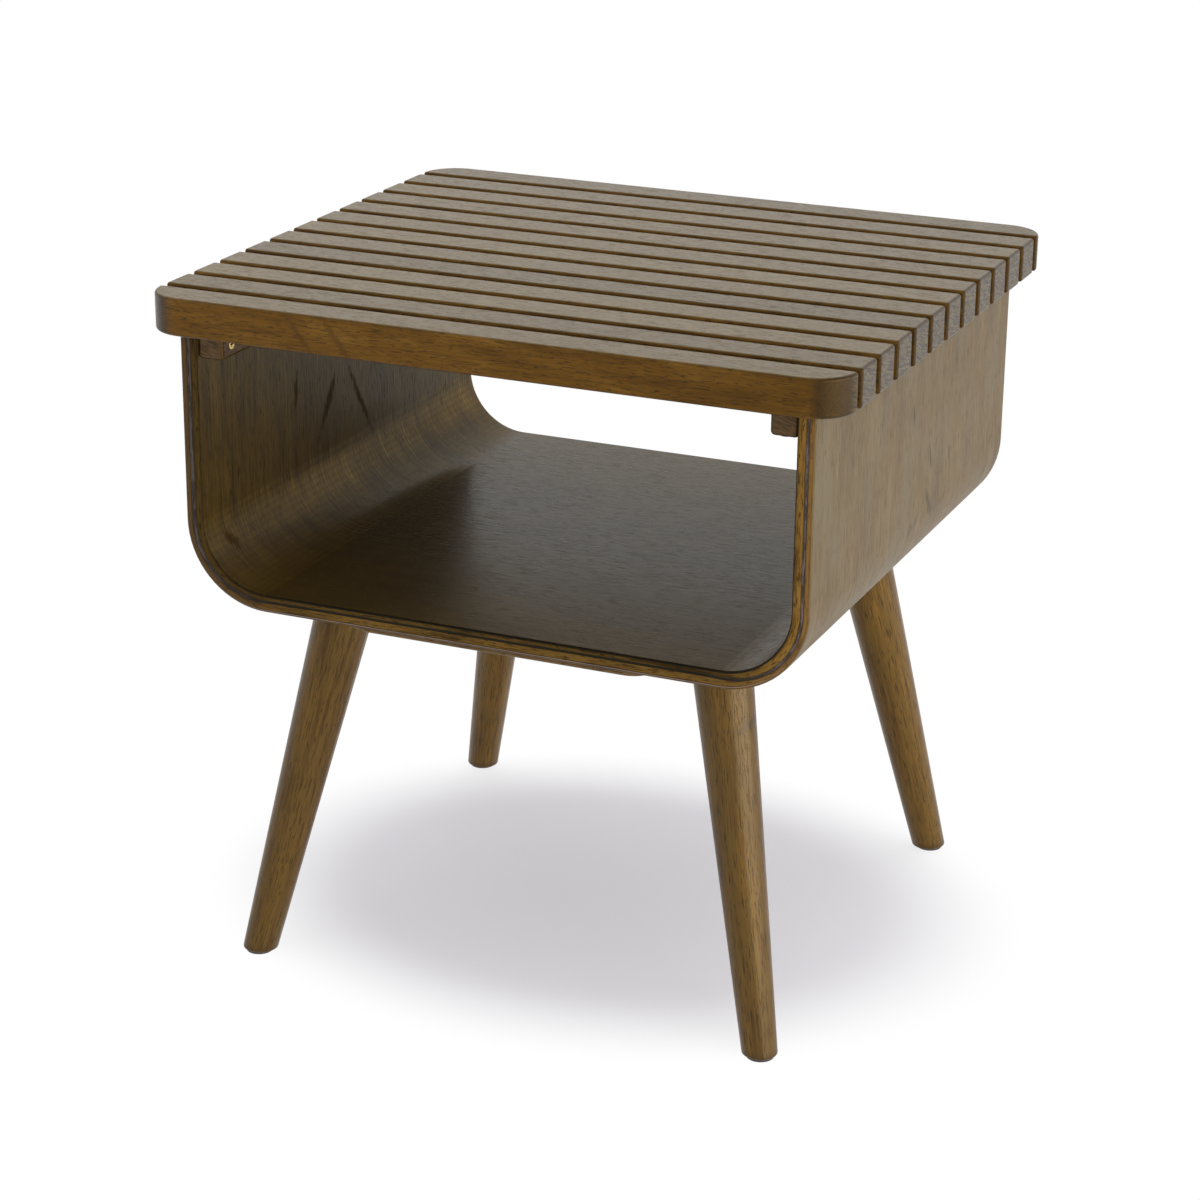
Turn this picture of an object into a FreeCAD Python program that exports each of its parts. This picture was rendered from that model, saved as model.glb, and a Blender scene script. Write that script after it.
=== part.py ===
"""Slatted side table with an open shelf of bent plywood on four splayed round legs.

The origin lies on the floor under the middle of the top. X runs along the slats, the front
of the table faces -Y and Z points up. Sizes are in millimetres.
"""
import FreeCAD, Part
import math
import os
import Sketcher

# Driving sizes: name, value, meaning
SIZES = (
    ("slat_count", 13, "slats in the top"),
    ("slat_length", 500, "a slat along X"),
    ("slat_width", 28.5, "a slat along Y"),
    ("slat_thickness", 26.5, "a slat along Z"),
    ("slat_gap", 7, "open gap between two slats"),
    ("slat_round", 2, "rounding of every edge of a slat"),
    ("side_overhang", 22, "the top past the shelf, at each side"),
    ("end_overhang", 13.5, "the top past the shelf, at the front and at the back"),
    ("shell_height", 193.5, "bent shelf, from its underside to the slats"),
    ("shell_wall", 12.5, "thickness of the bent plywood"),
    ("shell_bend", 60, "outer radius of the two bends"),
    ("shell_round", 3, "rounding of the plywood's open edges"),
    ("cleat_width", 19, "cleat along X"),
    ("cleat_height", 18.5, "cleat along Z"),
    ("cleat_setback", 3, "cleat's end behind the shelf's open edge"),
    ("cleat_round", 3, "rounding of a cleat's edges"),
    ("panel_thickness", 7, "stiffening panel under the shelf"),
    ("panel_setback", 11, "panel's edge behind the shelf's open edge"),
    ("panel_leg_gap", 4, "panel's side to the legs' tops"),
    ("panel_corner", 20, "panel's corners in plan"),
    ("panel_round", 2.5, "rounding of the panel's upper and lower edges"),
    ("leg_height", 274, "floor to the shelf's underside"),
    ("leg_side_inset", 88, "leg's axis inside the shelf's side, at the shelf"),
    ("leg_end_inset", 74, "leg's axis inside the shelf's open edge, at the shelf"),
    ("leg_spread_x", 55, "foot outside the leg's top, along X"),
    ("leg_spread_y", 48.5, "foot outside the leg's top, along Y"),
    ("leg_top_diameter", 42.4, "leg at the shelf"),
    ("leg_foot_diameter", 24.6, "leg at the floor"),
    ("leg_foot_round", 1.6, "rounding of the foot's edge"),
    ("glide_thickness", 2, "glide under the foot"),
    ("glide_diameter", 19, "glide's disc"),
    ("glide_pin_diameter", 3, "glide's pin in the leg"),
    ("glide_pin_length", 12, "glide's pin above its disc"),
    ("hanger_diameter", 8, "hanger bolt in the top of a leg"),
    ("hanger_grip", 42, "hanger bolt inside the leg"),
    ("hanger_point", 6, "hanger bolt's point"),
    ("insert_diameter", 12, "threaded insert in the shelf's floor"),
    ("insert_length", 8, "threaded insert along the leg's axis"),
    ("insert_recess", 1.8, "insert's lower end above the leg's top, on the axis"),
    ("slat_screw_diameter", 4, "screw through a cleat into a slat"),
    ("slat_screw_bite", 14, "that screw inside the slat"),
    ("slat_screw_inset", 5.5, "screw of the first and the last slat behind the cleat's end"),
    ("cleat_screw_diameter", 3.5, "brass screw through a cleat into the shelf's wall"),
    ("cleat_screw_bite", 7.5, "that screw inside the wall"),
    ("cleat_screw_inset", 16, "outer brass screw behind the shelf's open edge"),
    ("cleat_screw_pitches", 1.5, "inner brass screw from the middle, in slat pitches"),
    ("panel_screw_diameter", 3.5, "screw through the panel into the shelf's floor"),
    ("panel_screw_bite", 8, "that screw inside the floor"),
    ("panel_screw_inset", 16, "that screw inside the panel's edges"),
    ("panel_screw_rows", 3, "those screws along Y"),
    ("head_share", 2, "countersunk head's width over its shank's"),
    ("recess_length_share", 1.1, "cross recess's arm over the shank's width"),
    ("recess_width_share", 0.28, "cross recess's arm width over the shank's"),
    ("recess_depth_share", 0.45, "cross recess's depth over the shank's width"),
    ("bore_clearance", 0.1, "play between a bore's wall and what it holds"),
    ("cut_overrun", 5, "how far a cutting shape runs past the wood"),
)

# Sizes worked out from the driving ones
SLAT_PITCH = "(Sizes.slat_width + Sizes.slat_gap)"
FIRST_SLAT_Y = f"(-{SLAT_PITCH} * (Sizes.slat_count - 1) / 2)"
TOP_DEPTH = f"({SLAT_PITCH} * (Sizes.slat_count - 1) + Sizes.slat_width)"
SHELL_WIDTH = "(Sizes.slat_length - 2 * Sizes.side_overhang)"
SHELL_DEPTH = f"({TOP_DEPTH} - 2 * Sizes.end_overhang)"
SLAT_UNDERSIDE = "(Sizes.leg_height + Sizes.shell_height)"
CLEAT_UNDERSIDE = f"({SLAT_UNDERSIDE} - Sizes.cleat_height)"
WALL_INSIDE = f"({SHELL_WIDTH} / 2 - Sizes.shell_wall)"
CLEAT_INSIDE = f"({WALL_INSIDE} - Sizes.cleat_width)"
CLEAT_X = f"({WALL_INSIDE} - Sizes.cleat_width / 2)"
CLEAT_DEPTH = f"({SHELL_DEPTH} - 2 * Sizes.cleat_setback)"
CLEAT_MIDDLE = f"({SLAT_UNDERSIDE} - Sizes.cleat_height / 2)"
SECOND_SLAT_Y = f"({FIRST_SLAT_Y} + {SLAT_PITCH})"
INNER_SLATS = "(Sizes.slat_count - 2)"
INNER_SLATS_SPAN = f"({SLAT_PITCH} * ({INNER_SLATS} - 1))"
END_SLAT_SCREW_Y = f"({CLEAT_DEPTH} / 2 - Sizes.slat_screw_inset)"
OUTER_CLEAT_SCREW_Y = f"({SHELL_DEPTH} / 2 - Sizes.cleat_screw_inset)"
INNER_CLEAT_SCREW_Y = f"(Sizes.cleat_screw_pitches * {SLAT_PITCH})"
LEG_TOP_X = f"({SHELL_WIDTH} / 2 - Sizes.leg_side_inset)"
LEG_TOP_Y = f"({SHELL_DEPTH} / 2 - Sizes.leg_end_inset)"
FOOT_X = f"({LEG_TOP_X} + Sizes.leg_spread_x)"
FOOT_Y = f"({LEG_TOP_Y} + Sizes.leg_spread_y)"
LEG_SPREAD = "sqrt(Sizes.leg_spread_x ^ 2 + Sizes.leg_spread_y ^ 2)"
LEG_LENGTH = "sqrt(Sizes.leg_spread_x ^ 2 + Sizes.leg_spread_y ^ 2 + Sizes.leg_height ^ 2)"
PANEL_WIDTH = f"(2 * ({LEG_TOP_X} - Sizes.leg_top_diameter / 2 - Sizes.panel_leg_gap))"
PANEL_DEPTH = f"({SHELL_DEPTH} - 2 * Sizes.panel_setback)"
PANEL_UNDERSIDE = "(Sizes.leg_height - Sizes.panel_thickness)"
PANEL_SCREW_X = f"({PANEL_WIDTH} / 2 - Sizes.panel_screw_inset)"
PANEL_SCREW_Y = f"({PANEL_DEPTH} / 2 - Sizes.panel_screw_inset)"
INSERT_START = f"({LEG_LENGTH} + Sizes.insert_recess)"

# Turns of a shape from upright
UPWARDS = "create(<<rotation>>; create(<<vector>>; 0; 0; 1); 0)"
HALF_TURN = "create(<<rotation>>; create(<<vector>>; 0; 0; 1); 180)"
BACK_QUARTER_TURN = "create(<<rotation>>; create(<<vector>>; 0; 0; 1); -90)"
TO_RIGHT = "create(<<rotation>>; create(<<vector>>; 0; 1; 0); 90)"
TO_LEFT = "create(<<rotation>>; create(<<vector>>; 0; 1; 0); -90)"

# Corners of the table: name, side along X, side along Y
CORNERS = (
    ("front_left", -1, -1),
    ("front_right", 1, -1),
    ("rear_left", -1, 1),
    ("rear_right", 1, 1),
)

# A sketch's numbers for its own origin, and for a line's or an arc's start, end and centre
SKETCH_ORIGIN, START, END, CENTRE = -1, 1, 2, 3

# How near two places count as one when an edge is looked for
SAME_PLACE = 1e-6

doc = FreeCAD.newDocument("SlattedSideTable")
sub_parts = []


def fill_sheet():
    """Put the driving sizes in the sheet, each under its own name."""
    sheet = doc.addObject("Spreadsheet::Sheet", "Sizes")
    for row, (name, value, meaning) in enumerate(SIZES, start=1):
        sheet.set(f"A{row}", name)
        sheet.set(f"B{row}", str(value))
        sheet.set(f"C{row}", meaning)
        sheet.setAlias(f"B{row}", name)
    doc.recompute()
    return sheet


def value_of(expression):
    """The number that an expression on the sheet gives."""
    return float(sizes.evalExpression(expression.replace("Sizes.", "")))


def new_body(label, x="0", y="0", z="0"):
    """A sub-part of its own, placed by three expressions."""
    body = doc.addObject("PartDesign::Body", label)
    body.Label = label
    for axis, place in zip("xyz", (x, y, z)):
        body.setExpression(f"Placement.Base.{axis}", place)
    sub_parts.append(body)
    return body


def origin_feature(body, role):
    """One of the body's own planes or axes, such as XY_Plane or Y_Axis."""
    return next(item for item in body.Origin.OriginFeatures if item.Role == role)


def placed(x, y, z, turn=UPWARDS):
    """Expression of a placement: three expressions and a turn."""
    return f"create(<<placement>>; create(<<vector>>; {x}; {y}; {z}); {turn})"


def on_leg_axis(side_x, side_y, distance, base_height="0"):
    """Placement on a leg's axis, that far from the floor, its Z along the leg."""
    share = f"(({distance}) / {LEG_LENGTH})"
    axis = f"create(<<vector>>; {side_y} * Sizes.leg_spread_y; {-side_x} * Sizes.leg_spread_x; 0)"
    turn = f"create(<<rotation>>; {axis}; atan2({LEG_SPREAD}; Sizes.leg_height))"
    return placed(
        f"{side_x} * ({FOOT_X} - Sizes.leg_spread_x * {share})",
        f"{side_y} * ({FOOT_Y} - Sizes.leg_spread_y * {share})",
        f"Sizes.leg_height * {share} - {base_height}",
        turn,
    )


def new_sketch(body, name, plane, offset=("0", "0", "0")):
    """An empty sketch on one of the body's own planes, shifted in that plane's axes."""
    sketch = body.newObject("Sketcher::SketchObject", name)
    sketch.AttachmentSupport = (origin_feature(body, plane), [""])
    sketch.MapMode = "FlatFace"
    for axis, place in zip("xyz", offset):
        sketch.setExpression(f"AttachmentOffset.Base.{axis}", place)
    return sketch


def dimension(sketch, kind, first, second, expression):
    """A dimension between two points of a sketch, bound to an expression."""
    constraint = Sketcher.Constraint(kind, *first, *second, value_of(expression))
    index = sketch.addConstraint(constraint)
    sketch.setExpression(f"Constraints[{index}]", expression)


def fix_point(sketch, geometry, point, place):
    """Dimension a point from the sketch's origin, by two expressions."""
    for kind, distance in zip(("DistanceX", "DistanceY"), place):
        dimension(sketch, kind, (SKETCH_ORIGIN, START), (geometry, point), distance)


def whole_steps(start, end):
    """Direction of a side that runs along one of the sketch's axes: 0, 1 or -1 in each."""
    direction = (end - start).normalize()
    return round(direction.x), round(direction.y)


def round_corner(sketch, before, after, corner, back, ahead):
    """Join two square sides by a quarter arc; back and ahead point from the corner along them."""
    across, up, radius = corner
    centre = (f"{across} + {back[0] + ahead[0]} * {radius}", f"{up} + {back[1] + ahead[1]} * {radius}")
    arrival = (f"{across} + {back[0]} * {radius}", f"{up} + {back[1]} * {radius}")
    departure = (f"{across} + {ahead[0]} * {radius}", f"{up} + {ahead[1]} * {radius}")
    turns_left = back[0] * ahead[1] < back[1] * ahead[0]
    spoke = ahead if turns_left else back
    first_angle = math.atan2(-spoke[1], -spoke[0])
    middle = FreeCAD.Vector(value_of(centre[0]), value_of(centre[1]), 0)
    circle = Part.Circle(middle, FreeCAD.Vector(0, 0, 1), value_of(radius))
    arc = sketch.addGeometry(Part.ArcOfCircle(circle, first_angle, first_angle + math.pi / 2), False)
    first, last = (START, END) if turns_left else (END, START)
    sketch.addConstraint(Sketcher.Constraint("Coincident", before, END, arc, first))
    sketch.addConstraint(Sketcher.Constraint("Coincident", after, START, arc, last))
    fix_point(sketch, arc, CENTRE, centre)
    fix_point(sketch, before, END, arrival)
    kind, distance = ("DistanceX", departure[0]) if ahead[0] else ("DistanceY", departure[1])
    dimension(sketch, kind, (SKETCH_ORIGIN, START), (after, START), distance)


def outline(body, name, plane, corners, offset=("0", "0", "0")):
    """A closed outline of straight sides, dimensioned from the sketch's origin.

    Each corner is two expressions; one between two square sides may add a radius.
    """
    sketch = new_sketch(body, name, plane, offset)
    points = [FreeCAD.Vector(value_of(corner[0]), value_of(corner[1]), 0) for corner in corners]
    for start, end in zip(points, points[1:] + points[:1]):
        sketch.addGeometry(Part.LineSegment(start, end), False)
    for after, corner in enumerate(corners):
        before = (after - 1) % len(corners)
        if len(corner) == 2:
            sketch.addConstraint(Sketcher.Constraint("Coincident", before, END, after, START))
            fix_point(sketch, after, START, corner)
        else:
            back = whole_steps(points[after], points[before])
            ahead = whole_steps(points[after], points[(after + 1) % len(corners)])
            round_corner(sketch, before, after, corner, back, ahead)
    return sketch


def centred_rectangle(body, name, plane, across, up, *radius):
    """A rectangle round the origin of one of the body's planes, its corners square or rounded."""
    corners = [
        (f"{side_x} * {across} / 2", f"{side_y} * {up} / 2", *radius)
        for side_x, side_y in ((-1, -1), (1, -1), (1, 1), (-1, 1))
    ]
    return outline(body, name, plane, corners)


def pad(body, name, sketch, length, symmetric=False):
    """Thicken a sketch to a length, on both its sides if symmetric."""
    feature = body.newObject("PartDesign::Pad", name)
    feature.Profile = sketch
    if symmetric:
        feature.SideType = "Symmetric"
    feature.setExpression("Length", length)
    sketch.Visibility = False
    doc.recompute()


def revolve(body, name, sketch, axis):
    """Turn a half outline full circle about the sketch's own axis."""
    feature = body.newObject("PartDesign::Revolution", name)
    feature.Profile = sketch
    feature.ReferenceAxis = (sketch, [axis])
    sketch.Visibility = False


def fillet(body, name, radius, is_rounded=None):
    """Round the edges of the body's last feature that the test names, or all of them."""
    base = body.Tip
    feature = body.newObject("PartDesign::Fillet", name)
    if is_rounded is None:
        feature.Base = (base, [""])
        feature.UseAllEdges = True
    else:
        edges = [f"Edge{n}" for n, edge in enumerate(base.Shape.Edges, start=1) if is_rounded(edge)]
        feature.Base = (base, edges)
    feature.setExpression("Radius", radius)
    doc.recompute()


def drill(body, name, diameter, depth, placement):
    """A round bore with its clearance, from a placement along that placement's Z."""
    feature = body.newObject("PartDesign::SubtractiveCylinder", name)
    feature.setExpression("Radius", f"{diameter} / 2 + Sizes.bore_clearance")
    feature.setExpression("Height", depth)
    feature.setExpression("Placement", placement)
    return feature


def countersink(body, name, diameter, placement):
    """A conical seat for a screw's head, wide at the placement."""
    head = f"(Sizes.head_share * {diameter})"
    feature = body.newObject("PartDesign::SubtractiveCone", name)
    feature.setExpression("Radius1", f"{head} / 2 + Sizes.bore_clearance")
    feature.setExpression("Radius2", f"{diameter} / 2 + Sizes.bore_clearance")
    feature.setExpression("Height", f"({head} - {diameter}) / 2")
    feature.setExpression("Placement", placement)
    return feature


def cut_box(body, name, sizes_of_box, middle):
    """Cut a box away: its three sizes, and its middle in X and Y and its lowest Z."""
    feature = body.newObject("PartDesign::SubtractiveBox", name)
    for side, size in zip(("Length", "Width", "Height"), sizes_of_box):
        feature.setExpression(side, size)
    along_x, along_y, _ = sizes_of_box
    x, y, z = middle
    feature.setExpression("Placement", placed(f"{x} - {along_x} / 2", f"{y} - {along_y} / 2", z))


def copies(body, name, rows, mirrors):
    """A pattern along Y, a length and a count, that is mirrored in the body's planes."""
    doc.recompute()
    multi = body.newObject("PartDesign::MultiTransform", name)
    steps = []
    if rows:
        length, count = rows
        line = body.newObject("PartDesign::LinearPattern", f"{name}Rows")
        line.Direction = (origin_feature(body, "Y_Axis"), [""])
        line.setExpression("Length", length)
        line.setExpression("Occurrences", count)
        steps.append(line)
    for plane in mirrors:
        mirror = body.newObject("PartDesign::Mirrored", f"{name}{plane}")
        mirror.MirrorPlane = (origin_feature(body, plane), [""])
        steps.append(mirror)
    multi.Transformations = steps
    body.Tip = multi
    return multi


def repeat(body, cuts, rows=None, mirrors=()):
    """Repeat each of a body's cuts."""
    for cut in cuts:
        copies(body, f"{cut.Name}Copies", rows, mirrors).Originals = [cut]


def repeat_all(body, name, rows=None, mirrors=()):
    """Repeat the body's whole shape, each copy a solid of its own."""
    copies(body, name, rows, mirrors).TransformMode = "Whole shape"


def screw(body, name, diameter, length, place, along):
    """A countersunk screw with a cross recess, its head at the place, pointing along X or Z."""
    head = f"(Sizes.head_share * {diameter})"
    half_outline = (
        ("0", "0"),
        (f"{head} / 2", "0"),
        (f"{diameter} / 2", f"({head} - {diameter}) / 2"),
        (f"{diameter} / 2", f"{length} - {diameter}"),
        ("0", length),
    )
    x, y, z = place
    if along == "X":
        half_outline = tuple((distance, radius) for radius, distance in half_outline)
    sketch = outline(body, f"{name}Outline", "XZ_Plane", half_outline, (x, z, f"-{y}"))
    revolve(body, name, sketch, "H_Axis" if along == "X" else "V_Axis")
    arm = f"(Sizes.recess_length_share * {diameter})"
    slot = f"(Sizes.recess_width_share * {diameter})"
    depth = f"(Sizes.recess_depth_share * {diameter} + Sizes.cut_overrun)"
    if along == "X":
        middle = (f"{x} + ({depth}) / 2 - Sizes.cut_overrun", y)
        cut_box(body, f"{name}Upright", (depth, slot, arm), (*middle, f"{z} - {arm} / 2"))
        cut_box(body, f"{name}Level", (depth, arm, slot), (*middle, f"{z} - {slot} / 2"))
    else:
        lowest = f"{z} - Sizes.cut_overrun"
        cut_box(body, f"{name}Upright", (slot, arm, depth), (x, y, lowest))
        cut_box(body, f"{name}Level", (arm, slot, depth), (x, y, lowest))


# The top

def slat_pilots(body, y):
    """Pilot bores from below, one over each cleat."""
    pilot = drill(
        body, "Pilot", "Sizes.slat_screw_diameter", "Sizes.slat_screw_bite + 2 * Sizes.bore_clearance",
        placed(CLEAT_X, y, "0"),
    )
    repeat(body, [pilot], mirrors=("YZ_Plane",))


def make_end_bar(body):
    """Bar of the first slat: its front corners are quarter rounds as wide as the slat."""
    straight = "(Sizes.slat_length - 2 * Sizes.slat_width)"
    plan = centred_rectangle(body, "Plan", "XY_Plane", straight, "Sizes.slat_width")
    pad(body, "Bar", plan, "Sizes.slat_thickness")
    for name, side, turn in (("LeftCorner", -1, HALF_TURN), ("RightCorner", 1, BACK_QUARTER_TURN)):
        corner = body.newObject("PartDesign::AdditiveCylinder", name)
        corner.Angle = 90
        corner.setExpression("Radius", "Sizes.slat_width")
        corner.setExpression("Height", "Sizes.slat_thickness")
        corner.setExpression(
            "Placement", placed(f"{side} * {straight} / 2", "Sizes.slat_width / 2", "0", turn))
    doc.recompute()


def make_slats():
    """Thirteen slats from front to back; the first and the last have rounded plan corners."""
    count = round(value_of("Sizes.slat_count"))
    for index in range(count):
        y = f"{FIRST_SLAT_Y} + {index} * {SLAT_PITCH}"
        body = new_body(f"slat_{index + 1:02d}", y=y, z=SLAT_UNDERSIDE)
        is_end = index in (0, count - 1)
        if is_end:
            make_end_bar(body)
        else:
            plan = centred_rectangle(body, "Plan", "XY_Plane", "Sizes.slat_length", "Sizes.slat_width")
            pad(body, "Bar", plan, "Sizes.slat_thickness")
        if index == count - 1:
            body.Placement.Rotation = FreeCAD.Rotation(FreeCAD.Vector(0, 0, 1), 180)
        fillet(body, "Edges", "Sizes.slat_round")
        slat_pilots(body, f"-{FIRST_SLAT_Y} - {END_SLAT_SCREW_Y}" if is_end else "0")


# The shelf and what joins it to the top

def make_shell():
    """The bent plywood shelf, open at the front, at the back and at its top."""
    body = new_body("bent_shell", z="Sizes.leg_height")
    half = f"({SHELL_WIDTH} / 2)"
    inner_bend = "(Sizes.shell_bend - Sizes.shell_wall)"
    profile = (
        (f"-{half}", "0", "Sizes.shell_bend"),
        (half, "0", "Sizes.shell_bend"),
        (half, "Sizes.shell_height"),
        (WALL_INSIDE, "Sizes.shell_height"),
        (WALL_INSIDE, "Sizes.shell_wall", inner_bend),
        (f"-{WALL_INSIDE}", "Sizes.shell_wall", inner_bend),
        (f"-{WALL_INSIDE}", "Sizes.shell_height"),
        (f"-{half}", "Sizes.shell_height"),
    )
    pad(body, "Channel", outline(body, "Profile", "XZ_Plane", profile), SHELL_DEPTH, symmetric=True)
    half_depth = value_of(SHELL_DEPTH) / 2
    top = value_of("Sizes.shell_height")

    def is_open_edge(edge):
        """An edge at the front or the back, but not along the walls' tops."""
        box = edge.BoundBox
        at_an_end = abs(abs(box.YMin) - half_depth) < SAME_PLACE and box.YLength < SAME_PLACE
        return at_an_end and box.ZMin < top - SAME_PLACE

    fillet(body, "OpenEdges", "Sizes.shell_round", is_open_edge)
    insert_bore = drill(
        body, "InsertBore", "Sizes.insert_diameter",
        "Sizes.insert_recess + Sizes.insert_length + Sizes.bore_clearance + Sizes.cut_overrun",
        on_leg_axis(1, 1, f"{LEG_LENGTH} - Sizes.cut_overrun", "Sizes.leg_height"),
    )
    repeat(body, [insert_bore], mirrors=("YZ_Plane", "XZ_Plane"))
    panel_pilot = drill(
        body, "PanelPilot", "Sizes.panel_screw_diameter", "Sizes.panel_screw_bite + Sizes.bore_clearance",
        placed(PANEL_SCREW_X, f"-{PANEL_SCREW_Y}", "0"),
    )
    repeat(body, [panel_pilot], (f"2 * {PANEL_SCREW_Y}", "Sizes.panel_screw_rows"), ("YZ_Plane",))
    wall_pilots = [
        drill(
            body, f"WallPilot{name}", "Sizes.cleat_screw_diameter",
            "Sizes.cleat_screw_bite + Sizes.bore_clearance",
            placed(WALL_INSIDE, y, f"{CLEAT_MIDDLE} - Sizes.leg_height", TO_RIGHT),
        )
        for name, y in (("Outer", OUTER_CLEAT_SCREW_Y), ("Inner", INNER_CLEAT_SCREW_Y))
    ]
    repeat(body, wall_pilots, mirrors=("YZ_Plane", "XZ_Plane"))


def make_cleats():
    """The battens that the slats are screwed to, one inside each wall of the shelf."""
    for name, side in (("left", -1), ("right", 1)):
        body = new_body(f"cleat_{name}", x=f"{side} * {CLEAT_X}", z=CLEAT_UNDERSIDE)
        plan = centred_rectangle(body, "Plan", "XY_Plane", "Sizes.cleat_width", CLEAT_DEPTH)
        pad(body, "Batten", plan, "Sizes.cleat_height")
        fillet(body, "Edges", "Sizes.cleat_round")
        inner_seat = placed("0", SECOND_SLAT_Y, "0")
        inner_bore = [
            drill(body, "SlatBore", "Sizes.slat_screw_diameter", "Sizes.cleat_height", inner_seat),
            countersink(body, "SlatSeat", "Sizes.slat_screw_diameter", inner_seat),
        ]
        repeat(body, inner_bore, (INNER_SLATS_SPAN, INNER_SLATS))
        end_seat = placed("0", f"-{END_SLAT_SCREW_Y}", "0")
        end_bore = [
            drill(body, "EndBore", "Sizes.slat_screw_diameter", "Sizes.cleat_height", end_seat),
            countersink(body, "EndSeat", "Sizes.slat_screw_diameter", end_seat),
        ]
        repeat(body, end_bore, mirrors=("XZ_Plane",))
        wall_bores = []
        for row, y in (("Outer", OUTER_CLEAT_SCREW_Y), ("Inner", INNER_CLEAT_SCREW_Y)):
            face = placed(
                f"{-side} * Sizes.cleat_width / 2", y, "Sizes.cleat_height / 2",
                TO_RIGHT if side > 0 else TO_LEFT,
            )
            wall_bores.append(drill(body, f"WallBore{row}", "Sizes.cleat_screw_diameter",
                                    "Sizes.cleat_width", face))
            wall_bores.append(countersink(body, f"WallSeat{row}", "Sizes.cleat_screw_diameter", face))
        repeat(body, wall_bores, mirrors=("XZ_Plane",))


def make_panel():
    """The thin panel that stiffens the shelf's floor between the legs."""
    body = new_body("under_panel", z=PANEL_UNDERSIDE)
    plan = centred_rectangle(
        body, "Plan", "XY_Plane", PANEL_WIDTH, PANEL_DEPTH, "Sizes.panel_corner")
    pad(body, "Board", plan, "Sizes.panel_thickness")
    fillet(body, "Edges", "Sizes.panel_round")
    seat = placed(PANEL_SCREW_X, f"-{PANEL_SCREW_Y}", "0")
    bore = [
        drill(body, "Bore", "Sizes.panel_screw_diameter", "Sizes.panel_thickness", seat),
        countersink(body, "Seat", "Sizes.panel_screw_diameter", seat),
    ]
    repeat(body, bore, (f"2 * {PANEL_SCREW_Y}", "Sizes.panel_screw_rows"), ("YZ_Plane",))


# The legs and their hardware

def make_legs():
    """Four tapered legs, cut level at the shelf and at the glide."""
    grow = "(Sizes.leg_top_diameter - Sizes.leg_foot_diameter) / 2 / Sizes.leg_height"
    glide_top = value_of("Sizes.glide_thickness")
    for name, side_x, side_y in CORNERS:
        body = new_body(f"leg_{name}")
        taper = body.newObject("PartDesign::AdditiveCone", "Taper")
        taper.setExpression("Radius1", f"Sizes.leg_foot_diameter / 2 - Sizes.cut_overrun * {grow}")
        taper.setExpression("Radius2", f"Sizes.leg_top_diameter / 2 + 2 * Sizes.cut_overrun * {grow}")
        taper.setExpression("Height", f"{LEG_LENGTH} + 3 * Sizes.cut_overrun")
        taper.setExpression("Placement", on_leg_axis(side_x, side_y, "-Sizes.cut_overrun"))
        square = "2 * Sizes.leg_top_diameter"
        top = (f"{side_x} * {LEG_TOP_X}", f"{side_y} * {LEG_TOP_Y}", "Sizes.leg_height")
        cut_box(body, "LevelTop", (square, square, "4 * Sizes.cut_overrun"), top)
        foot_height = "4 * Sizes.cut_overrun"
        foot = (f"{side_x} * {FOOT_X}", f"{side_y} * {FOOT_Y}", f"Sizes.glide_thickness - {foot_height}")
        cut_box(body, "LevelFoot", (square, square, foot_height), foot)
        doc.recompute()
        fillet(body, "FootEdge", "Sizes.leg_foot_round",
               lambda edge: abs(edge.BoundBox.ZMax - glide_top) < SAME_PLACE)
        drill(
            body, "HangerBore", "Sizes.hanger_diameter",
            "Sizes.hanger_grip + Sizes.bore_clearance + Sizes.cut_overrun",
            on_leg_axis(side_x, side_y, f"{LEG_LENGTH} - Sizes.hanger_grip - Sizes.bore_clearance"),
        )
        drill(
            body, "GlideBore", "Sizes.glide_pin_diameter", "Sizes.glide_pin_length + Sizes.bore_clearance",
            placed(f"{side_x} * {FOOT_X}", f"{side_y} * {FOOT_Y}", "Sizes.glide_thickness"),
        )


def make_glides():
    """A disc with a pin under each foot."""
    half_outline = (
        ("0", "0"),
        ("Sizes.glide_diameter / 2", "0"),
        ("Sizes.glide_diameter / 2", "Sizes.glide_thickness"),
        ("Sizes.glide_pin_diameter / 2", "Sizes.glide_thickness"),
        ("Sizes.glide_pin_diameter / 2", "Sizes.glide_thickness + Sizes.glide_pin_length"),
        ("0", "Sizes.glide_thickness + Sizes.glide_pin_length"),
    )
    for name, side_x, side_y in CORNERS:
        body = new_body(f"glide_{name}", x=f"{side_x} * {FOOT_X}", y=f"{side_y} * {FOOT_Y}")
        revolve(body, "Disc", outline(body, "HalfOutline", "XZ_Plane", half_outline), "V_Axis")


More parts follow.
